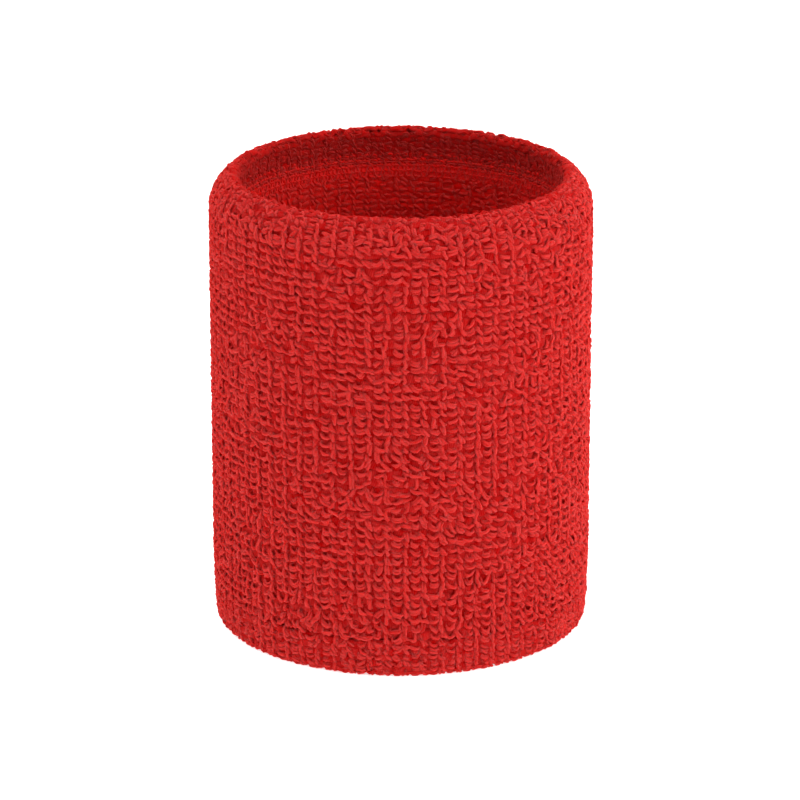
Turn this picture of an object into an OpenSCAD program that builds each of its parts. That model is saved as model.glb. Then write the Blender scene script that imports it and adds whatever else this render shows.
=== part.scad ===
// Terry sweat wristband.
// One circular-knit tube is folded back inside itself, so that the band has two walls and
// both of its rims are folds. The two raw ends meet on the wrist side just below the top
// rim, where an overlock seam joins them and lies flat in a strip that carries no loops.
// The origin is the centre of the face that the band stands on. +Z is the band's axis.

/* [Band] */
// Height of the finished band, from fold to fold
band_h = 76; // [60:1:100]
// Outside diameter over the tips of the loops
band_d = 62.5; // [56:0.5:80]
// Radius of the rounded edges of the bottom rim
foot_round = 1.6; // [1.2:0.1:2.1]
// Radius of the shoulder in which the outside wall leans in to the top rim
shoulder_round = 6.5; // [5.5:0.1:8]
// Radius of the top rim's inner edge
crest_round = 1.2; // [0.8:0.1:1.6]

/* [Terry pile] */
// Height of the loops on the outside wall
outer_pile_t = 1.85; // [1.6:0.05:2.2]
// Height of the flattened loops on the wrist side
inner_pile_t = 1.2; // [1.2:0.1:1.8]
// Height of the loops that fan out over the two folds
fold_pile_t = 1.4; // [1:0.1:2]

/* [Ground knit] */
// Thickness of the ground knit that carries the loops
ground_t = 0.5; // [0.4:0.05:0.7]
// Clear space between the two walls
hollow_t = 0.9; // [0.9:0.05:1.4]
// Thickness of the plain courses at the two raw ends
end_t = 0.35; // [0.25:0.01:0.35]

/* [Elastic yarn] */
// Thickness of the covered elastic yarn
elastic_d = 0.4; // [0.2:0.05:0.4]
// Height from one turn of the elastic yarn to the next
elastic_pitch = 2.9; // [1.5:0.1:6]

/* [Seam] */
// Distance of the seam below the top rim, which is also the height of the two rim zones
seam_drop = 5; // [4:0.5:9]
// Width of the two raw ends that the overlock stitches cover
seam_w = 3.5; // [3:0.1:5]
// Distance of the needle stitches from the raw edge
needle_bite = 2.4; // [1.8:0.1:2.4]
// Thickness of the sewing threads
thread_d = 0.2; // [0.14:0.02:0.2]
// Number of overlock stitches round the seam
stitches = 64; // [48:1:72]

/* [Hidden] */
$fn = 96;

cotton_red = [0.76, 0.15, 0.13];
ground_red = [0.58, 0.09, 0.08];
thread_red = [0.70, 0.12, 0.11];
elastic_white = [0.90, 0.86, 0.82];

// Gap that keeps two neighbouring layers clear of each other
gap = 0.05;
// Corner radii of the folded ground knit at its foot and crest, outside the fold
ground_foot = 0.9;
ground_crest = 0.5;
// The same inside the fold
hollow_foot = 0.4;
hollow_crest = 0.2;

// Radii of the surfaces, from the outside in
r_out = band_d / 2;
r_outer_ground = r_out - outer_pile_t;
r_outer_back = r_outer_ground - ground_t;
r_inner_back = r_outer_back - hollow_t;
r_inner_ground = r_inner_back - ground_t;
r_in = r_inner_ground - inner_pile_t;
r_middle = (r_outer_back + r_inner_back) / 2;

// Height at which the shoulder starts, so that the rim's crest comes at the band's height
z_shoulder = band_h - sqrt(
    pow(shoulder_round, 2) - pow(r_in + crest_round - r_out + shoulder_round, 2)
);

// Heights of the seam: its top bend, its raw edge and the end of the loop-free strip
z_seam = band_h - seam_drop;
z_raw = z_seam - seam_w;
z_strip = z_raw - 1.5 * thread_d;
z_needle = z_raw + needle_bite;

// Radii in the seam: the wrist-side threads, the two raw ends and the thread behind them
r_face_thread = r_in + thread_d / 2 + gap;
r_upper_end = r_face_thread + thread_d / 2 + gap;
r_lower_end = r_upper_end + end_t + gap;
r_back_thread = r_inner_ground - thread_d / 2 - gap / 2;
lower_end_t = r_back_thread - thread_d / 2 - gap / 2 - r_lower_end;

// Sides of the elastic yarn's section
elastic_sides = 8;
// Lowest turn of the elastic yarn, just above the bottom fold
z_elastic = fold_pile_t + ground_t + hollow_foot + elastic_d;

// A plain rectangle in the plane of radius and height, from one corner to the other
module section_box(r_low, r_high, z_low, z_high) {
    translate([r_low, z_low]) square([r_high - r_low, z_high - z_low]);
}

// A double wall's section in the same plane: two round corners at the foot, a round inner
// edge at the crest, and a shoulder on the outside that leans in to it. inset is its
// distance from the tips of the outer loops.
module wall_outline(r_low, inset, z_low, z_high, foot, crest) {
    r_high = r_out - inset;
    intersection() {
        union() {
            section_box(r_low + foot, r_high - foot, z_low, z_low + foot);
            section_box(r_low, r_high, z_low + foot, z_high - crest);
            section_box(r_low + crest, r_high, z_high - crest, z_high);
            for (r = [r_low + foot, r_high - foot])
                translate([r, z_low + foot]) circle(r = foot);
            translate([r_low + crest, z_high - crest]) circle(r = crest);
        }
        union() {
            section_box(0, r_high, z_low, z_shoulder);
            translate([r_out - shoulder_round, z_shoulder])
                circle(r = shoulder_round - inset);
        }
    }
}

// Height at which a shoulder with this inset meets a radius
function shoulder_z(inset, r) =
    z_shoulder + sqrt(pow(shoulder_round - inset, 2) - pow(r - r_out + shoulder_round, 2));

// Section of the whole closed wall, out to the tips of the loops
module wall_section() {
    wall_outline(r_in, 0, 0, band_h, foot_round, crest_round);
}

// Section inside which the folded ground knit lies
module ground_outline() {
    wall_outline(
        r_inner_ground, outer_pile_t, fold_pile_t,
        shoulder_z(outer_pile_t, r_inner_ground + ground_crest), ground_foot, ground_crest
    );
}

// Section of the hollow between the two walls
module hollow_outline() {
    wall_outline(
        r_inner_back, r_out - r_outer_back, fold_pile_t + ground_t,
        shoulder_z(r_out - r_outer_back, r_inner_back + hollow_crest),
        hollow_foot, hollow_crest
    );
}

// Loops of one zone of the wall, between two heights and two radii
module pile_zone(r_low, r_high, z_low, z_high) {
    color(cotton_red)
    rotate_extrude()
    intersection() {
        difference() {
            wall_section();
            ground_outline();
        }
        section_box(r_low, r_high, z_low, z_high);
    }
}

// The upper raw end turns in towards the wrist and hangs down over the lower one
module upper_raw_end() {
    section_box(r_upper_end, r_upper_end + end_t, z_raw, z_seam);
    section_box(r_upper_end, r_inner_ground + gap, z_seam - end_t, z_seam);
}

// The lower raw end turns over under it, into the same flat strip
module lower_raw_end() {
    z_top = z_seam - end_t - gap;
    section_box(r_lower_end, r_lower_end + lower_end_t, z_raw, z_top);
    section_box(r_lower_end, r_inner_ground + gap, z_top - lower_end_t, z_top);
}

// The one ground knit: outer wall, both folds, inner wall and the two raw ends
module ground_knit_tube() {
    color(ground_red)
    rotate_extrude() {
        difference() {
            ground_outline();
            hollow_outline();
            section_box(
                r_inner_ground - gap, r_inner_back + gap,
                z_seam - end_t - gap, z_seam - end_t
            );
        }
        upper_raw_end();
        lower_raw_end();
    }
}

module outer_terry_pile() {
    pile_zone(r_middle, r_out + 1, seam_drop, z_seam);
}

module inner_terry_pile() {
    pile_zone(r_in - 1, r_middle, seam_drop, z_strip);
}

module top_fold_terry_pile() {
    pile_zone(r_in - 1, r_out + 1, z_seam + gap, band_h + 1);
}

module bottom_fold_terry_pile() {
    pile_zone(r_in - 1, r_out + 1, -1, seam_drop - gap);
}

// Turns of elastic yarn laid into the courses of one wall, one above the other
module elastic_turns(radius) {
    color(elastic_white)
    for (z = [z_elastic : elastic_pitch : z_shoulder - elastic_d])
        rotate_extrude() translate([radius, z]) circle(d = elastic_d, $fn = elastic_sides);
}

module outer_wall_elastic_yarn() {
    elastic_turns(r_outer_back - elastic_d / 2 - gap / 2);
}

module inner_wall_elastic_yarn() {
    elastic_turns(r_inner_back + elastic_d / 2 + gap / 2);
}

// The needle thread lies in one line of stitches on the wrist side of the seam
module seam_needle_thread() {
    color(thread_red)
    rotate_extrude() translate([r_face_thread, z_needle]) circle(d = thread_d, $fn = 24);
}

// A looper thread swings between the needle line and the raw edge, once in each stitch,
// and hooks round the edge there. Each stop gives the place in the stitch, the share of the
// way up to the needle line, and whether the thread is tucked in past the edge.
looper_stops = [[0, 1, 0], [0.4, 0, 0], [0.5, 0, 1], [0.6, 0, 0]];
looper_top = z_needle - thread_d - gap;
looper_low = z_raw - thread_d / 2 - gap;
edge_tuck = 0.3;
thread_sides = 5;

// A place on a looper's path: side is its radius on the face that it covers, and phase
// shifts its swings along the seam, in stitches
function looper_point(i, side, phase) =
    let (stops = len(looper_stops))
    let (stop = looper_stops[i % stops])
    let (turn = 360 * (floor(i / stops) + stop[0] + phase) / stitches)
    let (r = side + stop[2] * edge_tuck * sign(r_lower_end - side))
    [r * cos(turn), r * sin(turn), looper_low + stop[1] * (looper_top - looper_low)];

// The points of the thread's outline round one place on its path
function thread_ring(i, rings, side, phase) =
    let (centre = looper_point(i, side, phase))
    let (along = looper_point((i + 1) % rings, side, phase)
        - looper_point((i + rings - 1) % rings, side, phase))
    let (outward = [centre[0], centre[1], 0])
    let (across = cross(along, outward) / norm(cross(along, outward)))
    let (up = cross(across, along) / norm(along))
    [for (k = [0 : thread_sides - 1])
        centre + thread_d / 2 * (cos(360 * k / thread_sides) * across
            + sin(360 * k / thread_sides) * up)];

module looper_thread(side, phase) {
    rings = stitches * len(looper_stops);
    points = [for (i = [0 : rings - 1]) each thread_ring(i, rings, side, phase)];
    faces = [
        for (i = [0 : rings - 1], k = [0 : thread_sides - 1])
            let (here = i * thread_sides, next = (i + 1) % rings * thread_sides)
            let (m = (k + 1) % thread_sides)
            each [[here + k, here + m, next + m], [here + k, next + m, next + k]]
    ];
    color(thread_red) polyhedron(points, faces);
}

module seam_upper_looper_thread() {
    looper_thread(r_face_thread, 0);
}

module seam_lower_looper_thread() {
    looper_thread(r_back_thread, 0.5);
}

ground_knit_tube();
outer_terry_pile();
inner_terry_pile();
top_fold_terry_pile();
bottom_fold_terry_pile();
outer_wall_elastic_yarn();
inner_wall_elastic_yarn();
seam_needle_thread();
seam_upper_looper_thread();
seam_lower_looper_thread();
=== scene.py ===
"""Looks of a terry sweat wristband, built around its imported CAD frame.

The band is one circular knit folded back inside itself. Its pile is real yarn here: every
course is one closed ring of yarn that runs out of the ground knit and back in, twice in each
column. A course is placed by its distance along the wall's section, which starts on the
wrist side at the seam, runs over the top fold, down the outside, round the foot, and up the
wrist side to the seam again.
"""

import math

import bpy
import numpy as np
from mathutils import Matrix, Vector


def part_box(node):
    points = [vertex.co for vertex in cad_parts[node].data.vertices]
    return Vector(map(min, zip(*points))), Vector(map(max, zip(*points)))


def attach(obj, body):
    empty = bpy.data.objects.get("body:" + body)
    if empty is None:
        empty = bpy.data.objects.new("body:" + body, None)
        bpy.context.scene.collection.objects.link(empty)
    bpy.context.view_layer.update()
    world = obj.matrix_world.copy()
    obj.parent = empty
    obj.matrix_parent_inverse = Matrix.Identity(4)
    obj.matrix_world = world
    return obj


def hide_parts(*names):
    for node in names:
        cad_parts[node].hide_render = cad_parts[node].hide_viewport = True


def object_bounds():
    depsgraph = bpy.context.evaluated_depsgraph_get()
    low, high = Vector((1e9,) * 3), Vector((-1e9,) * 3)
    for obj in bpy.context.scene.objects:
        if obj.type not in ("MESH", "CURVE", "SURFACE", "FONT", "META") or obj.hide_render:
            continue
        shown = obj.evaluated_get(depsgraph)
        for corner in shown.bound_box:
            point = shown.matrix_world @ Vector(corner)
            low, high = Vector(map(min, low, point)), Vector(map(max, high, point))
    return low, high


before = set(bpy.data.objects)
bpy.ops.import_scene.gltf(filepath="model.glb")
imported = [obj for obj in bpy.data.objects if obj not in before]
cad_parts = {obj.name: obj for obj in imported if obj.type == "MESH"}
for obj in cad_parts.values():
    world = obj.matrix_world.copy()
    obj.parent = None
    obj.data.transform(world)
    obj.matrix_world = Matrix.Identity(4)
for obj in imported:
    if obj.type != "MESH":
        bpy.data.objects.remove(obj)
cad_low, cad_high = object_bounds()

MM = 0.001


def box_mm(node):
    """Lowest and highest corners of a CAD node in millimetres."""
    low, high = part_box(node)
    return low / MM, high / MM


# Sizes in millimetres, read from the frame
BAND_H = cad_high.z / MM
R_OUT = cad_high.x / MM
GROUND_LOW, GROUND_HIGH = box_mm("ground_knit_tube")
OUTER_LOW, OUTER_HIGH = box_mm("outer_terry_pile")
INNER_LOW, INNER_HIGH = box_mm("inner_terry_pile")
NEEDLE_LOW, NEEDLE_HIGH = box_mm("seam_needle_thread")
Z_SEAM = OUTER_HIGH.z
Z_STRIP = INNER_HIGH.z
OUTER_PILE = R_OUT - GROUND_HIGH.x

# Sizes that the frame's boxes don't hold, as in the CAD model
SHOULDER_ROUND = 6.5
CREST_ROUND = 1.2
INNER_PILE = 1.2
GROUND_T = 0.5
GROUND_FOOT = 0.9
GROUND_CREST = 0.5
HOLLOW_T = 0.9
END_T = 0.35
THREAD_D = 0.2
STITCHES = 64
ELASTIC_D = 0.4
ELASTIC_PITCH = 2.9
R_INNER_GROUND = GROUND_HIGH.x - 2 * GROUND_T - HOLLOW_T
R_IN = R_INNER_GROUND - INNER_PILE
Z_RAW = Z_STRIP + 1.5 * THREAD_D

# The knit: columns of loops round the band, and the distance between courses
COLUMNS = 66
COURSE_PITCH = 1.46

rng = np.random.default_rng(20)


# ---------------------------------------------------------------- stage and camera

# The camera, in millimetres, degrees and metres, fitted to the outline of the band
SENSOR = 36
LENS = 184.3
ELEVATION = 18.9
CAMERA_DISTANCE = 0.675
LOOK_AT = Vector((-0.00015, 0, 0.481 * BAND_H * MM))
MIDDLE = Vector((0, 0, 0.5 * BAND_H * MM))

# Square area lights: name, place in metres, side in metres and power in watts
LIGHTS = [
    ("key_light", (0.60, -0.30, 0.50), 0.70, 4.2),
    ("top_light", (-0.05, -0.05, 0.80), 0.60, 2.4),
    ("left_light", (-0.35, -0.05, 0.70), 0.50, 1.1),
    ("front_light", (-0.05, -0.85, 0.05), 0.50, 2.0),
]
# The sky's strength as a light. The camera sees it at full strength, as white.
SKY = 0.80
FLOOR_SIDE = 8
FLOOR_GLOW = 0.60


def make_camera():
    """The camera stands in front of the band and looks down on it a little."""
    data = bpy.data.cameras.new("camera")
    data.sensor_width = SENSOR
    data.lens = LENS
    data.clip_start = 0.05
    camera = bpy.data.objects.new("camera", data)
    bpy.context.scene.collection.objects.link(camera)
    elevation = math.radians(ELEVATION)
    outwards = Vector((0, -math.cos(elevation), math.sin(elevation)))
    camera.location = MIDDLE + CAMERA_DISTANCE * outwards
    camera.rotation_euler = (LOOK_AT - camera.location).to_track_quat("-Z", "Y").to_euler()
    bpy.context.scene.camera = camera


def make_area_light(name, place, side, power):
    """A soft square light that faces the middle of the band."""
    data = bpy.data.lights.new(name, "AREA")
    data.size = side
    data.energy = power
    light = bpy.data.objects.new(name, data)
    bpy.context.scene.collection.objects.link(light)
    light.location = place
    light.rotation_euler = (MIDDLE - light.location).to_track_quat("-Z", "Y").to_euler()


def make_sky():
    """An even sky, which looks white and lights the band softly."""
    world = bpy.data.worlds.new("sky")
    world.use_nodes = True
    nodes, link = world.node_tree.nodes, world.node_tree.links.new
    background = nodes["Background"]
    background.inputs["Color"].default_value = (1, 1, 1, 1)
    path = nodes.new("ShaderNodeLightPath")
    strength = nodes.new("ShaderNodeMath")
    strength.operation = "MULTIPLY_ADD"
    strength.inputs[1].default_value = 1 - SKY
    strength.inputs[2].default_value = SKY
    link(path.outputs["Is Camera Ray"], strength.inputs[0])
    link(strength.outputs[0], background.inputs["Strength"])
    bpy.context.scene.world = world


def make_floor():
    """A white floor that glows a little, as on a light table, so that no shadow stays dark."""
    bpy.ops.mesh.primitive_plane_add(size=FLOOR_SIDE, location=(0, 0, cad_low.z))
    floor = bpy.context.object
    floor.name = "floor"
    material = bpy.data.materials.new("floor_white")
    material.use_nodes = True
    shader = material.node_tree.nodes["Principled BSDF"]
    shader.inputs["Base Color"].default_value = (0.9, 0.9, 0.9, 1)
    shader.inputs["Roughness"].default_value = 0.9
    shader.inputs["Specular IOR Level"].default_value = 0.1
    shader.inputs["Emission Color"].default_value = (1, 1, 1, 1)
    shader.inputs["Emission Strength"].default_value = FLOOR_GLOW
    floor.data.materials.append(material)


def make_stage():
    """White all round, with the strongest light high on the right and a low one in front."""
    bpy.context.scene.view_settings.view_transform = "Standard"
    make_sky()
    make_floor()
    for light in LIGHTS:
        make_area_light(*light)


# ---------------------------------------------------------------- materials

def new_material(name, roughness, specular, sheen, sheen_tint):
    """A node material, with its nodes, its link function and its shader."""
    material = bpy.data.materials.new(name)
    material.use_nodes = True
    nodes = material.node_tree.nodes
    shader = nodes["Principled BSDF"]
    shader.inputs["Roughness"].default_value = roughness
    shader.inputs["Specular IOR Level"].default_value = specular
    shader.inputs["Sheen Weight"].default_value = sheen
    shader.inputs["Sheen Roughness"].default_value = 0.5
    shader.inputs["Sheen Tint"].default_value = (*sheen_tint, 1)
    return material, nodes, material.node_tree.links.new, shader


def scaled(nodes, link, value, factor, offset):
    """A node output times a factor plus an offset, which is a number or a node output."""
    step = nodes.new("ShaderNodeMath")
    step.operation = "MULTIPLY_ADD"
    step.inputs[1].default_value = factor
    link(value, step.inputs[0])
    if isinstance(offset, float):
        step.inputs[2].default_value = offset
    else:
        link(offset, step.inputs[2])
    return step.outputs[0]


# How far light goes through cotton yarn: the distance for red, and each colour's share of it
SCATTER = 0.45
SCATTER_SHARES = (1.0, 0.15, 0.12)


def yarn_material(name, deep, tip, ply_depth, sheen=0.06):
    """Matt cotton yarn, which lets red light through. Its colour goes from deep in the pile to
    the tips, painting the pile's depth in shade and light, varies from loop to loop and is
    darker between the plies, as painted shade in their grooves. The plies stand out as bump,
    as deep as ply_depth in millimetres."""
    material, nodes, link, shader = new_material(name, 0.9, 0.01, sheen, (1.0, 0.3, 0.27))
    shader.inputs["Subsurface Weight"].default_value = 1.0
    shader.inputs["Subsurface Radius"].default_value = SCATTER_SHARES
    shader.inputs["Subsurface Scale"].default_value = SCATTER * MM
    along = nodes.new("ShaderNodeUVMap")
    along.uv_map = "Yarn"
    plies = nodes.new("ShaderNodeTexWave")
    plies.bands_direction = "DIAGONAL"
    plies.inputs["Scale"].default_value = 2.0
    plies.inputs["Distortion"].default_value = 3.0
    plies.inputs["Detail"].default_value = 3
    plies.inputs["Detail Scale"].default_value = 2.0
    link(along.outputs["UV"], plies.inputs["Vector"])
    bump = nodes.new("ShaderNodeBump")
    bump.inputs["Strength"].default_value = 0.5
    bump.inputs["Distance"].default_value = ply_depth * MM
    link(plies.outputs["Fac"], bump.inputs["Height"])
    link(bump.outputs["Normal"], shader.inputs["Normal"])

    # On the pile the tint follows the height, so the mix of deep and tip colours paints the
    # pile's depth in shade and light
    tint = nodes.new("ShaderNodeAttribute")
    tint.attribute_name = "tint"
    where = nodes.new("ShaderNodeTexCoord")
    patches = nodes.new("ShaderNodeTexNoise")
    patches.inputs["Scale"].default_value = 900
    patches.inputs["Detail"].default_value = 4
    link(where.outputs["Object"], patches.inputs["Vector"])
    mottled = scaled(nodes, link, patches.outputs["Fac"], 0.7, -0.5)
    # The plies' wave also darkens the colour between the plies: painted shade in the grooves
    mottled_and_groove_shade = scaled(nodes, link, plies.outputs["Fac"], 0.3, mottled)
    share = scaled(nodes, link, tint.outputs["Fac"], 1.0, mottled_and_groove_shade)
    shades = nodes.new("ShaderNodeMix")
    shades.data_type = "RGBA"
    shades.inputs["A"].default_value = (*deep, 1)
    shades.inputs["B"].default_value = (*tip, 1)
    link(share, shades.inputs["Factor"])
    link(shades.outputs["Result"], shader.inputs["Base Color"])
    return material


def knit_material(name, dark, light):
    """Plain knit cloth, with its courses as bump and darker lines between them, painted
    shade in the grooves between the courses.
    """
    material, nodes, link, shader = new_material(name, 0.9, 0.2, 0.1, (1.0, 0.5, 0.45))
    stitches = nodes.new("ShaderNodeUVMap")
    stitches.uv_map = "Yarn"
    wave = nodes.new("ShaderNodeTexWave")
    wave.bands_direction = "Y"
    wave.inputs["Scale"].default_value = 0.35
    wave.inputs["Distortion"].default_value = 2.0
    link(stitches.outputs["UV"], wave.inputs["Vector"])
    shades = nodes.new("ShaderNodeMix")
    shades.data_type = "RGBA"
    shades.inputs["A"].default_value = (*dark, 1)
    shades.inputs["B"].default_value = (*light, 1)
    link(wave.outputs["Fac"], shades.inputs["Factor"])
    link(shades.outputs["Result"], shader.inputs["Base Color"])
    bump = nodes.new("ShaderNodeBump")
    bump.inputs["Distance"].default_value = 0.1 * MM
    link(wave.outputs["Fac"], bump.inputs["Height"])
    link(bump.outputs["Normal"], shader.inputs["Normal"])
    return material


# ---------------------------------------------------------------- the wall's section

def straight(start, end, count):
    """Points along a straight stretch of a section line, without its last point."""
    share = np.linspace(0, 1, count, endpoint=False)[:, None]
    return np.array(start) * (1 - share) + np.array(end) * share


def arc(centre, radius, start, end, count):
    """Points along a round stretch of a section line, without its last point."""
    angles = np.radians(np.linspace(start, end, count, endpoint=False))
    return np.array(centre) + radius * np.stack([np.cos(angles), np.sin(angles)], axis=1)


Z_SHOULDER = BAND_H - math.sqrt(
    SHOULDER_ROUND ** 2 - (R_IN + CREST_ROUND - R_OUT + SHOULDER_ROUND) ** 2
)
# Numbers of points on the stretches of a section line
TOP, CREST, SHOULDER, OUTSIDE, CORNER, BASE, INSIDE = 12, 8, 24, 80, 10, 4, 80
# The band narrows a little towards its foot, and its weight splays the loops it stands on,
# so their tips turn a sharper corner than the CAD model's foot
FOOT_TAPER = 0.5
FOOT_TAPER_H = 14
TIP_FOOT = 0.6


def section_line(r_low, inset, z_low, foot, crest):
    """A line of the wall's section as radius and height, from the seam on the wrist side over
    the crest, down the outside, round the foot and up the wrist side to the seam's strip."""
    r_high = R_OUT - inset
    lean_in = r_low + crest - R_OUT + SHOULDER_ROUND
    z_high = Z_SHOULDER + math.sqrt((SHOULDER_ROUND - inset) ** 2 - lean_in ** 2)
    over = math.degrees(math.acos(lean_in / (SHOULDER_ROUND - inset)))
    line = np.concatenate([
        straight((r_low, Z_SEAM), (r_low, z_high - crest), TOP),
        arc((r_low + crest, z_high - crest), crest, 180, 90, CREST),
        arc((R_OUT - SHOULDER_ROUND, Z_SHOULDER), SHOULDER_ROUND - inset, over, 0, SHOULDER),
        straight((r_high, Z_SHOULDER), (r_high, z_low + foot), OUTSIDE),
        arc((r_high - foot, z_low + foot), foot, 0, -90, CORNER),
        straight((r_high - foot, z_low), (r_low + foot, z_low), BASE),
        arc((r_low + foot, z_low + foot), foot, -90, -180, CORNER),
        straight((r_low, z_low + foot), (r_low, Z_STRIP), INSIDE),
        [(r_low, Z_STRIP)],
    ])
    foot_share = np.clip(1 - line[:, 1] / FOOT_TAPER_H, 0, 1)
    line[:, 0] -= FOOT_TAPER * foot_share ** 2
    return line


GROUND_LINE = section_line(
    R_INNER_GROUND, OUTER_PILE, GROUND_LOW.z, GROUND_FOOT, GROUND_CREST
)
TIP_LINE = section_line(R_IN, 0, 0, TIP_FOOT, CREST_ROUND)
STEPS = np.linalg.norm(np.diff((GROUND_LINE + TIP_LINE) / 2, axis=0), axis=1)
DISTANCES = np.concatenate([[0], np.cumsum(STEPS)])
CREST_AT = DISTANCES[TOP + CREST]
FIRST_OUTSIDE = TOP + CREST
FIRST_INSIDE = TOP + CREST + SHOULDER + OUTSIDE + 2 * CORNER + BASE


def on_line(line, distance):
    """Radius and height on a section line, at a distance along the wall's section. Past its
    ends the line goes on straight."""
    past = np.minimum(distance, 0) + np.maximum(distance - DISTANCES[-1], 0)
    r, z = (np.interp(distance, DISTANCES, line[:, k]) for k in (0, 1))
    return r, z + past


def outside_distance(z):
    """Distance at which the loop tips reach a height on the outside."""
    return np.interp(-z, -TIP_LINE[FIRST_OUTSIDE:FIRST_INSIDE, 1],
                     DISTANCES[FIRST_OUTSIDE:FIRST_INSIDE])


def inside_distance(z):
    """Distance at which the loop tips reach a height on the wrist side, below the seam."""
    return np.interp(z, TIP_LINE[FIRST_INSIDE:, 1], DISTANCES[FIRST_INSIDE:])


def place(local):
    """Points in metres from local ones: columns round the band, distance along the section,
    and height from 0 on the ground knit to 1 at the loop tips."""
    angle = local[..., 0] * 2 * np.pi / COLUMNS
    r_ground, z_ground = on_line(GROUND_LINE, local[..., 1])
    r_tip, z_tip = on_line(TIP_LINE, local[..., 1])
    r = r_ground + local[..., 2] * (r_tip - r_ground)
    z = z_ground + local[..., 2] * (z_tip - z_ground)
    return np.stack([r * np.cos(angle), r * np.sin(angle), z], axis=-1) * MM


# ---------------------------------------------------------------- yarns

def smooth_rings(points, samples, period=0.0):
    """Closed Catmull-Rom curves: (rings, points, k) becomes (rings, points * samples, k). The
    first coordinate grows by the period in one turn."""
    turn = np.zeros(points.shape[2])
    turn[0] = period
    before, after, further = (np.roll(points, k, axis=1) for k in (1, -1, -2))
    before[:, :1] -= turn
    after[:, -1:] += turn
    further[:, -2:] += turn
    out = [
        0.5 * (2 * points + (after - before) * t
               + (2 * before - 5 * points + 4 * after - further) * t ** 2
               + (3 * points - before - 3 * after + further) * t ** 3)
        for t in np.arange(samples) / samples
    ]
    return np.stack(out, axis=2).reshape(len(points), -1, points.shape[2])


def unit(vectors):
    """The vectors, each made 1 long."""
    return vectors / np.maximum(np.linalg.norm(vectors, axis=-1, keepdims=True), 1e-12)


def frames(paths, beside):
    """Directions along each closed path, towards the points beside it, and square to both."""
    along = unit(np.roll(paths, -1, axis=1) - np.roll(paths, 1, axis=1))
    wide = beside - paths
    wide = unit(wide - np.sum(wide * along, axis=2, keepdims=True) * along)
    return along, wide, np.cross(along, wide)


# Twist of the plies from one point of the yarn to the next, in radians: mean and spread
PLY_TWIST = (0.15, 0.30)


def split_plies(paths, beside, spread):
    """Two plies, loosely twisted round each path and this far from it, and points beside
    them."""
    _, wide, thick = frames(paths, beside)
    rings, count, _ = paths.shape
    twist = np.cumsum(rng.normal(*PLY_TWIST, (rings, count)), axis=1)
    whole = 2 * np.pi * np.round(twist[:, -1:] / (2 * np.pi))
    twist += (whole - twist[:, -1:]) * np.arange(1, count + 1) / count
    twist = twist[..., None]
    aside = spread * MM * (wide * np.cos(twist) + 0.7 * thick * np.sin(twist))
    plies = np.concatenate([paths + aside, paths - aside])
    return plies, plies + np.concatenate([wide, wide]) * MM


def ring_tubes(paths, beside, widths, flatness, sides):
    """Vertices, faces and yarn coordinates of a closed tube round each path. The yarn's wide
    side faces the points beside the path, and flatness is its thickness as a share of its
    width. Yarn coordinates are millimetres along the yarn and turns round it."""
    rings, count, _ = paths.shape
    _, wide, thick = frames(paths, beside)
    turn = 2 * np.pi * np.arange(sides) / sides
    offset = (wide[:, :, None] * np.cos(turn)[:, None]
              + thick[:, :, None] * flatness * np.sin(turn)[:, None])
    points = paths[:, :, None] + offset * widths[:, :, None, None] / 2

    ring = np.arange(rings)[:, None, None]
    step = np.arange(count)[None, :, None]
    side = np.arange(sides)[None, None, :]
    after, over = (step + 1) % count, (side + 1) % sides
    corners = [(step, side), (step, over), (after, over), (after, side)]
    faces = [(ring * count + a) * sides + b for a, b in corners]
    faces = np.stack(np.broadcast_arrays(*faces), axis=-1).reshape(-1, 4)

    length = np.linalg.norm(np.roll(paths, -1, axis=1) - paths, axis=2) / MM
    reach = np.concatenate([np.zeros((rings, 1)), np.cumsum(length, axis=1)], axis=1)
    shape = (rings, count, sides)
    u = [np.broadcast_to(reach[ring, step + k], shape) for k in (0, 0, 1, 1)]
    v = [np.broadcast_to((side + k) / sides, shape) for k in (0, 1, 1, 0)]
    uv = np.stack([np.stack(u, axis=-1), np.stack(v, axis=-1)], axis=-1)
    return points.reshape(-1, 3), faces, uv.reshape(-1, 2)


def mesh_piece(name, points, faces, uv, tint, material, node, slot):
    """A smooth piece with yarn coordinates and a tint, which stands for a CAD node."""
    mesh = bpy.data.meshes.new(name)
    mesh.vertices.add(len(points))
    mesh.vertices.foreach_set("co", points.astype(np.float32).ravel())
    mesh.loops.add(faces.size)
    mesh.loops.foreach_set("vertex_index", faces.astype(np.int32).ravel())
    mesh.polygons.add(len(faces))
    mesh.polygons.foreach_set("loop_start", np.arange(0, faces.size, 4, dtype=np.int32))
    mesh.update(calc_edges=True)
    mesh.shade_smooth()
    mesh.uv_layers.new(name="Yarn").uv.foreach_set("vector", uv.astype(np.float32).ravel())
    shade = mesh.attributes.new("tint", "FLOAT", "POINT")
    shade.data.foreach_set("value", tint.astype(np.float32).ravel())
    mesh.materials.append(material)
    piece = bpy.data.objects.new(name, mesh)
    bpy.context.scene.collection.objects.link(piece)
    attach(piece, "root")
    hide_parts(node)
    return piece


# ---------------------------------------------------------------- terry loops

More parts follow.
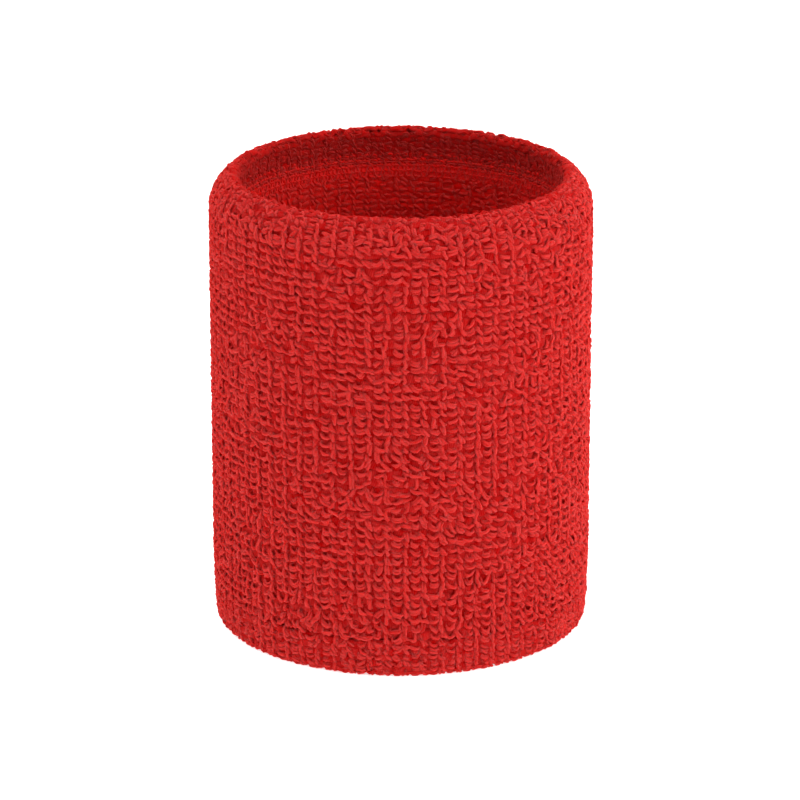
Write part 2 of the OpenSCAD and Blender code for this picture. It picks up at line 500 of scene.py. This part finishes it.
# The pile yarn's way through one column of a course, seen from outside: a wide loop that
# droops, then a narrow one that slants. Each point is across the column and up the wall in
# millimetres and out of the ground as a share of the pile, then the direction of the yarn's
# wide side, across and up.
WIDE_LOOP = [
    (0.26, 0.26, -0.05, 0, 1), (0.24, 0.06, 0.70, 0, 1), (0.92, -0.10, 0.96, 0, 1),
    (1.60, 0.06, 0.72, 0, 1), (1.62, 0.32, -0.05, 0, 1)
]
SLANTED_LOOP = [
    (1.80, 0.68, 0.45, 1, 0), (1.98, 0.42, 0.82, 1, 0), (2.28, -0.06, 0.94, 1, 0),
    (2.58, -0.54, 0.72, 1, 0), (2.74, -0.48, -0.05, 1, 1)
]
COLUMN_W = 2.95
COLUMN = np.array(WIDE_LOOP + SLANTED_LOOP)
SLANTED = len(WIDE_LOOP)
WIDE_CENTRE = (0.92, 0.04)
SLANTED_CENTRE = (2.22, 0.0)

# How much loops differ where the disorder is 1: the share of them that is knocked over and how
# far they then lean, the spread of all lean, size, place and height, and the spread of single
# points of the yarn. Angles are in radians, places in millimetres.
KNOCKED, KNOCKED_LEAN = 0.07, 0.9
LEAN, SIZE, PLACE, HEIGHT = 0.26, 0.13, 0.13, 0.05
WANDER = (0.06, 0.06, 0.03)

# What a patch adds: its wildness, and its lean for wide and for slanted loops
PATCH_WILDNESS = 0.55
WIDE_PATCH_LEAN, SLANTED_PATCH_LEAN = 0.12, 0.18
# How much the loops stand up on the crest, and how far from it
STAND, STAND_REACH = 0.7, 1.8

# Slow waves round and along the band, which make some patches of loops wilder than others
WAVES = [[(rng.integers(1, 8), rng.uniform(9, 40), *rng.uniform(0, 2 * np.pi, 2))
          for wave in range(10)] for field in range(3)]


def patchy(field, distances):
    """A slowly changing number, mostly from -1 to 1, for each column of each course."""
    angle = 2 * np.pi * np.arange(COLUMNS) / COLUMNS
    total = sum(np.cos(turns * angle + start) * np.cos(2 * np.pi * distances / length + shift)
                for turns, length, start, shift in WAVES[field])
    return total / 1.6


def lean(points, centre, angle):
    """Turns a loop's points and their wide sides round a centre, seen from outside."""
    cos, sin = np.cos(angle), np.sin(angle)
    for x, y, (cx, cy) in ((0, 1, centre), (3, 4, (0, 0))):
        across, up = points[..., x] - cx, points[..., y] - cy
        points[..., x] = cx + across * cos - up * sin
        points[..., y] = cy + across * sin + up * cos


def vary(loops, centre, disorder, bias):
    """Makes every loop a little different: its lean, place, size, height and shape. A few
    are knocked right over. The bias is a lean that they share."""
    each = loops.shape[:2] + (1,)
    knocked = rng.random(each) < KNOCKED * disorder
    angle = rng.normal(0, LEAN, each) * disorder + bias
    angle = angle + rng.normal(0, KNOCKED_LEAN, each) * knocked
    lean(loops, centre, angle)
    size = 1 + rng.normal(0, SIZE, each) * disorder
    for k, middle in enumerate(centre):
        loops[..., k] = middle + (loops[..., k] - middle) * size
        loops[..., k] += rng.normal(0, PLACE, each) * disorder
    loops[..., 2] *= 1 + rng.normal(0, HEIGHT, each) * disorder
    wander = rng.normal(0, WANDER, loops.shape[:3] + (3,))
    loops[..., :3] += wander * disorder[..., None]


def course_cells(distances, pitch, disorder):
    """The varied points of the pile yarn in every column of these courses. Its loops are
    shorter where the courses are closer."""
    wildness = disorder * (1 + PATCH_WILDNESS * np.tanh(patchy(0, distances)))[..., None]
    cells = np.broadcast_to(COLUMN, (len(distances), COLUMNS, *COLUMN.shape)).copy()
    cells[..., 1] *= 0.4 + 0.6 * pitch / COURSE_PITCH
    vary(cells[:, :, 1:SLANTED - 1], WIDE_CENTRE, wildness,
         WIDE_PATCH_LEAN * patchy(1, distances)[..., None])
    vary(cells[:, :, SLANTED:-1], SLANTED_CENTRE, wildness,
         SLANTED_PATCH_LEAN * patchy(2, distances)[..., None])
    stand = STAND * near_crest(distances, STAND_REACH)[..., None]
    cells[..., 1] *= 1 - 0.5 * stand
    cells[..., 4] *= 1 - stand
    cells[..., 3] += stand * 0.5
    return cells


# How far the points beside a path are from it, in millimetres
BESIDE = 0.2


def course_rings(distances, pitch, yarn, disorder, samples):
    """Smooth closed yarns of these courses as local points, and points beside them. The pitch
    and yarn, which is the yarn's width, are in millimetres."""
    cells = course_cells(distances, pitch, disorder)
    r_ground, z_ground = on_line(GROUND_LINE, distances)
    r_tip, z_tip = on_line(TIP_LINE, distances)
    pile = np.hypot(r_tip - r_ground, z_tip - z_ground)[:, :, None]
    height = np.minimum(cells[..., 2], 1 - 0.35 * yarn / pile)
    column = np.arange(COLUMNS)[None, :, None] + cells[..., 0] / COLUMN_W
    along = distances[:, :, None] - cells[..., 1]
    local = np.stack([column, along, height], axis=-1).reshape(len(distances), -1, 3)
    local = smooth_rings(local, samples, COLUMNS)
    wide = smooth_rings(cells[..., 3:].reshape(len(distances), -1, 2), samples)
    beside = local.copy()
    beside[..., 0] += BESIDE * wide[..., 0] / COLUMN_W
    beside[..., 1] -= BESIDE * wide[..., 1]
    return local, beside


def near_crest(distances, reach):
    """1 on the crest, falling to 0 at about twice this distance from it."""
    return np.exp(-((distances - CREST_AT) / reach) ** 2)


# Root yarns: points in each column, how much higher they lie on the crest and how far from
# it, and their spread along the section in millimetres and in height
ROOT_POINTS = 4
ROOT_RISE, ROOT_RISE_REACH = 0.27, 2.5
ROOT_WANDER = (0.12, 0.08)


def root_rings(distances, level):
    """The pile yarn's roots as local points, and points beside them: one plain yarn per
    course, at this level in the pile and higher on the crest."""
    column = np.arange(ROOT_POINTS * COLUMNS) / ROOT_POINTS + 0 * distances
    level = level + ROOT_RISE * near_crest(distances, ROOT_RISE_REACH) + 0 * column
    local = np.stack([column, distances + 0 * column, level], axis=-1)
    local[..., 1:] += rng.normal(0, ROOT_WANDER, local[..., 1:].shape)
    return local, local + (0, BESIDE, 0)


# Width of a ply as a share of the yarn's, in a yarn of one ply and of two, sides of the tubes
# and their thickness as a share of their width
ONE_PLY, TWO_PLIES = 0.68, 0.56
YARN_SIDES, YARN_FLATNESS = 5, 0.85
ROOT_SIDES, ROOT_FLATNESS = 6, 0.4
# A root yarn is wider than its course, to close the gaps: times the pitch, and more in mm
ROOT_WIDER, ROOT_MORE = 1.2, 0.45
# Spread of the yarn's width as a share, and of the tint from loop to loop
SWELL, SHADE = 0.1, 0.12


def loop_courses(name, distances, node, slot, material, pitch=COURSE_PITCH, yarn=0.95,
                 disorder=1.2, plies=2, samples=2, level=0.5):
    """The courses of pile yarn at these distances along the section, as one piece. The loops
    droop on the walls and stand upright on the crest, and the roots close the gaps."""
    distances = np.reshape(distances, (-1, 1))
    local, beside = course_rings(distances, pitch, yarn, disorder, samples)
    loops, hints = place(local), place(beside)
    ply = ONE_PLY if plies == 1 else TWO_PLIES
    if plies == 2:
        loops, hints = split_plies(loops, hints, yarn * (1 - ply) / 2)
    swell = rng.normal(1, SWELL, (len(loops), loops.shape[1] // samples, 1))
    widths = yarn * ply * MM * smooth_rings(swell, samples)[..., 0]
    shade = rng.normal(0, SHADE, (len(loops), COLUMNS, 2))
    shade = np.repeat(shade, (SLANTED, len(COLUMN) - SLANTED), axis=2)
    shade = np.repeat(shade.reshape(len(loops), -1), samples, axis=1)
    # The tip colour's share grows with the height in the pile, painting the pile's depth in
    # shade and light; the random part is the tone that varies from loop to loop
    tint = np.clip(1.1 * np.tile(local[..., 2], (plies, 1)) + shade, 0, 1)
    tubes = [(ring_tubes(loops, hints, widths, YARN_FLATNESS, YARN_SIDES),
              np.repeat(tint.ravel(), YARN_SIDES))]

    roots, beside = root_rings(distances, level)
    widths = np.full(roots.shape[:2], (ROOT_WIDER * pitch + ROOT_MORE) * MM)
    # The roots take mostly the deep colour: painted shade deep in the outside pile, painted
    # light deep in the rim's and the wrist side's pile
    tint = rng.uniform(0.1, 0.5, roots.shape[:2])
    tubes.append((ring_tubes(place(roots), place(beside), widths, ROOT_FLATNESS, ROOT_SIDES),
                  np.repeat(tint.ravel(), ROOT_SIDES)))
    return mesh_piece(name, *joined(tubes), material, node, slot)


def joined(tubes):
    """Vertices, faces, yarn coordinates and tints of several sets of tubes as one. Nothing
    goes below the face that the band stands on."""
    points, faces, uv, tints = [], [], [], []
    for (some_points, some_faces, some_uv), tint in tubes:
        faces.append(some_faces + sum(map(len, points)))
        points.append(some_points)
        uv.append(some_uv)
        tints.append(tint)
    points = np.concatenate(points)
    points[:, 2] = np.maximum(points[:, 2], cad_low.z)
    return points, np.concatenate(faces), np.concatenate(uv), np.concatenate(tints)


def loop_bands(name, pieces, start, end, pitch, **look):
    """Courses of loops from one distance to another, shared out over a number of pieces."""
    courses = round((end - start) / pitch)
    distances = np.linspace(start, end, courses, endpoint=False)
    return [loop_courses(f"{name}_{number}", band, pitch=pitch, **look)
            for number, band in enumerate(np.array_split(distances, pieces), 1)]


# ---------------------------------------------------------------- ground knit

# Steps round the band, and points where the lower end turns down
GROUND_TURNS = 180
END_TURN = 8
R_UPPER_END = R_IN + THREAD_D + 0.1 + END_T / 2
R_LOWER_END = R_UPPER_END + END_T
LOWER_END_T = 0.25


def make_ground(material):
    """The folded ground knit, with its two raw ends turned down in the seam's strip."""
    half = GROUND_T / 2
    r_wall = R_INNER_GROUND + half
    walls = section_line(r_wall, OUTER_PILE + half, GROUND_LOW.z + half, GROUND_FOOT - half,
                         GROUND_CREST - half)
    z_upper = Z_SEAM - END_T / 2
    upper = np.concatenate([
        straight((R_UPPER_END, Z_RAW), (R_UPPER_END, z_upper - 0.3), 5),
        arc((R_UPPER_END + 0.3, z_upper - 0.3), 0.3, 180, 90, 4),
        straight((R_UPPER_END + 0.3, z_upper), (r_wall - 0.1, z_upper), 2),
    ])
    z_lower = Z_SEAM - END_T - LOWER_END_T - 0.2
    lower = np.concatenate([
        arc((r_wall - 0.3, z_lower - 0.3), 0.3, 0, 180, END_TURN),
        straight((R_LOWER_END, z_lower - 0.3), (R_LOWER_END, Z_RAW), 5),
        [(R_LOWER_END, Z_RAW)],
    ])
    line = np.concatenate([upper, walls, lower])
    thickness = np.concatenate([
        np.full(len(upper), END_T), np.full(len(walls), GROUND_T),
        np.linspace(GROUND_T, LOWER_END_T, END_TURN),
        np.full(len(lower) - END_TURN, LOWER_END_T),
    ])
    slope = unit(np.gradient(line, axis=0))
    across = np.stack([-slope[:, 1], slope[:, 0]], axis=1) * thickness[:, None] / 2
    section = np.concatenate([line + across, (line - across)[::-1]])

    angle = 2 * np.pi * np.arange(GROUND_TURNS)[:, None] / GROUND_TURNS
    points = np.stack([section[:, 0] * np.cos(angle), section[:, 0] * np.sin(angle),
                       section[:, 1] + 0 * angle], axis=-1) * MM
    count = len(section)
    turn, step = np.arange(GROUND_TURNS)[:, None], np.arange(count)[None, :]
    corners = [(turn + k) % GROUND_TURNS * count + (step + m) % count
               for k, m in ((0, 0), (1, 0), (1, 1), (0, 1))]
    faces = np.stack(corners, axis=-1).reshape(-1, 4)
    reach = np.concatenate([[0], np.cumsum(np.linalg.norm(
        np.roll(section, -1, axis=0) - section, axis=1))])
    width = 2 * np.pi * r_wall / GROUND_TURNS
    u = [(turn + k) * width + 0 * step for k in (0, 1, 1, 0)]
    v = [reach[step + m] + 0 * turn for m in (0, 0, 1, 1)]
    uv = np.stack([np.stack(u, axis=-1), np.stack(v, axis=-1)], axis=-1)
    cloth = mesh_piece("ground_knit_cloth", points.reshape(-1, 3), faces, uv.reshape(-1, 2),
                       np.full(len(faces), 0.5), material, "ground_knit_tube", "ground_knit")


# The plain knit of the raw end: columns, courses, points in each stitch and yarn width
WALES = 2 * COLUMNS
PLAIN_COURSES = 4
STITCH_POINTS = 8
PLAIN_YARN = 0.42


def make_raw_end_stitches(material):
    """The plain courses in the upper raw end, each one a ring of knit stitches."""
    phase = 2 * np.pi * np.arange(STITCH_POINTS * WALES) / STITCH_POINTS
    z_courses = np.linspace(Z_RAW + 0.35, Z_SEAM - 0.2, PLAIN_COURSES)[:, None]
    wander = rng.normal(0, 0.06, (2, len(z_courses), len(phase)))
    angle = (phase + 0.9 * np.sin(2 * phase)) / WALES + 0 * z_courses
    radius = R_UPPER_END - END_T / 2 - 0.12 * np.cos(2 * phase) + wander[0]
    z = z_courses - 0.5 * np.cos(phase) + wander[1]
    paths = np.stack([radius * np.cos(angle), radius * np.sin(angle), z], axis=-1) * MM
    beside = paths * (1.01, 1.01, 1)
    widths = np.full(paths.shape[:2], PLAIN_YARN * MM)
    points, faces, uv = ring_tubes(paths, beside, widths, 1.0, 6)
    mesh_piece("raw_end_stitches", points, faces, uv, rng.normal(0.5, 0.3, len(points)),
               material, "ground_knit_tube", "ground_knit")


# ---------------------------------------------------------------- seam threads and elastic

def make_thread(name, stops, node, material):
    """A sewing thread that repeats its stops in every stitch of the seam. Each stop is the
    share of the stitch, the radius and the height in millimetres."""
    stops = np.array(stops)
    angle = (np.arange(STITCHES)[:, None] + stops[:, 0]) * 2 * np.pi / STITCHES
    places = np.stack([angle, np.broadcast_to(stops[:, 1], angle.shape),
                       np.broadcast_to(stops[:, 2], angle.shape)], axis=-1)
    places = smooth_rings(places.reshape(1, -1, 3), 5, 2 * np.pi)
    angle, radius, z = np.moveaxis(places, -1, 0)
    paths = np.stack([radius * np.cos(angle), radius * np.sin(angle), z], axis=-1) * MM
    beside = paths * (1.01, 1.01, 1)
    widths = np.full(paths.shape[:2], THREAD_D * MM)
    points, faces, uv = ring_tubes(paths, beside, widths, 1.0, 8)
    mesh_piece(name, points, faces, uv, np.full(len(points), 0.7), material, node,
               "sewing_thread")


def make_seam(material):
    """The needle's line of stitches and the two looper threads that cover the raw ends."""
    r_face = NEEDLE_HIGH.x - THREAD_D / 2
    z_needle = (NEEDLE_LOW.z + NEEDLE_HIGH.z) / 2
    r_hole = R_LOWER_END
    make_thread("needle_stitches", [
        (0.0, r_hole, z_needle), (0.05, r_face + 0.15, z_needle), (0.14, r_face, z_needle),
        (0.5, r_face - 0.03, z_needle), (0.86, r_face, z_needle),
        (0.95, r_face + 0.15, z_needle),
    ], "seam_needle_thread", material)
    sides = (("upper", "wrist", 0.0, 1), ("lower", "back", 0.5, -1))
    for name, side, phase, inward in sides:
        low, high = box_mm(f"seam_{name}_looper_thread")
        r_side = r_face if inward > 0 else high.x - THREAD_D / 2
        z_top, z_edge = high.z - THREAD_D / 2, low.z + THREAD_D / 2
        make_thread(f"{name}_looper_on_{side}_side", [
            (phase, r_side, z_top), (phase + 0.36, r_side, z_edge + 0.25),
            (phase + 0.45, r_side + 0.1 * inward, z_edge),
            (phase + 0.5, r_side + 0.3 * inward, z_edge),
            (phase + 0.55, r_side + 0.1 * inward, z_edge),
            (phase + 0.64, r_side, z_edge + 0.25),
        ], f"seam_{name}_looper_thread", material)


# Steps in each turn of the elastic yarn
HELIX_STEPS = 72


def make_elastic(name, node, material):
    """A covered elastic yarn, laid into the wall as one long helix with closed ends."""
    low, high = box_mm(node)
    radius = high.x - ELASTIC_D / 2
    z_low, z_high = low.z + ELASTIC_D / 2, high.z - ELASTIC_D / 2
    turns = round((z_high - z_low) / ELASTIC_PITCH)
    steps, sides = HELIX_STEPS * turns + 1, 8
    angle = np.linspace(0, 2 * np.pi * turns, steps)[:, None]
    swing = 2 * np.pi * np.arange(sides) / sides
    reach = radius + ELASTIC_D / 2 * np.cos(swing)
    z = np.linspace(z_low, z_high, steps)[:, None] + ELASTIC_D / 2 * np.sin(swing)
    points = np.stack([reach * np.cos(angle), reach * np.sin(angle), z], axis=-1) * MM
    step, side = np.arange(steps - 1)[:, None], np.arange(sides)[None, :]
    over = (side + 1) % sides
    tube = np.stack([step * sides + side, (step + 1) * sides + side,
                     (step + 1) * sides + over, step * sides + over], axis=-1).reshape(-1, 4)
    cap = np.array([(0, 1, 2, 3), (0, 3, 4, 7), (4, 5, 6, 7)])
    faces = np.concatenate([tube, cap, cap[:, ::-1] + (steps - 1) * sides])
    uv = np.stack([faces // sides * 2.5, faces % sides / sides], axis=-1).reshape(-1, 2)
    mesh_piece(name, points.reshape(-1, 3), faces, uv, np.full(steps * sides, 0.5),
               material, node, "elastic_yarn")


# ---------------------------------------------------------------- build

make_camera()
make_stage()

# Colours of the outside cotton, deep in the pile and at the tips. The deep one is darker, as
# painted shade between the loops, and the tips lighter and pinker, as painted light and sheen
DEEP_RED_PAINTED_SHADE, TIP_RED_PAINTED_LIGHT = (0.30, 0.0006, 0.0006), (0.465, 0.026, 0.0235)
outer_cotton = yarn_material("outer_terry_cotton", DEEP_RED_PAINTED_SHADE, TIP_RED_PAINTED_LIGHT, 0.08, sheen=0.05)
# The wrist side's cotton is lighter than the outside's, most of all deep in the pile: painted
# light on the shaded inner wall and between its loops
inner_cotton_painted_light = yarn_material("inner_terry_cotton_painted_light", (0.57, 0.0043, 0.0032),
                             (0.48, 0.020, 0.017), 0.06)
# The top fold's wrist side has much darker tips than the outside cotton, painted shade on the
# lit crest, and a slightly lighter deep colour, painted light between the loops
rim_cotton_painted_shade = yarn_material("rim_terry_cotton_painted_shade", (0.34, 0.002, 0.0015),
                           (0.30, 0.014, 0.012), 0.06)
sewing_cotton = yarn_material("sewing_thread_red", (0.4, 0.006, 0.005), TIP_RED_PAINTED_LIGHT, 0.02)
elastic_cover = yarn_material("covered_elastic_white", (0.62, 0.56, 0.50),
                              (0.80, 0.75, 0.70), 0.03)
plain_knit = knit_material("plain_knit_cotton", (0.50, 0.004, 0.003), (0.70, 0.007, 0.006))

# Where each part of the pile ends, as distances along the section
top_end = outside_distance(Z_SEAM)
outer_end = outside_distance(OUTER_LOW.z)
inner_start = inside_distance(INNER_LOW.z)
middle = 0.4 * inner_start + 0.6 * DISTANCES[-1]

outer_look = {"node": "outer_terry_pile", "slot": "outer_terry", "material": outer_cotton}
inner_look = {"node": "inner_terry_pile", "slot": "inner_terry", "material": inner_cotton_painted_light,
              "disorder": 1.25, "plies": 1, "level": 0.55}
top_look = {"node": "top_fold_terry_pile", "slot": "fold_terry"}
foot_look = {"node": "bottom_fold_terry_pile", "slot": "fold_terry",
             "material": outer_cotton, "disorder": 0.8, "level": 0.7}

pile = loop_bands("top_fold_wrist_side_loops", 2, -1.0, CREST_AT + 0.2, 0.65,
                  material=rim_cotton_painted_shade, yarn=0.7, disorder=0.9, level=0.6, **top_look)
pile += loop_bands("top_fold_outer_side_loops", 3, CREST_AT + 0.2, top_end, 0.8,
                   material=outer_cotton, yarn=0.85, disorder=1.4, **top_look)
pile += loop_bands("outer_terry_loops", 8, top_end, outer_end, COURSE_PITCH, **outer_look)
pile += loop_bands("bottom_fold_terry_loops", 3, outer_end, inner_start, 1.0, **foot_look)
pile += loop_bands("low_inner_terry_loops", 3, inner_start, middle, COURSE_PITCH, yarn=0.85,
                   **inner_look)
pile += loop_bands("high_inner_terry_loops", 3, middle, DISTANCES[-1] + 0.9, 1.0, yarn=0.75,
                   **inner_look)
make_ground(plain_knit)
make_raw_end_stitches(inner_cotton_painted_light)
make_seam(sewing_cotton)
for wall in ("outer", "inner"):
    make_elastic(f"{wall}_wall_elastic_helix", f"{wall}_wall_elastic_yarn", elastic_cover)
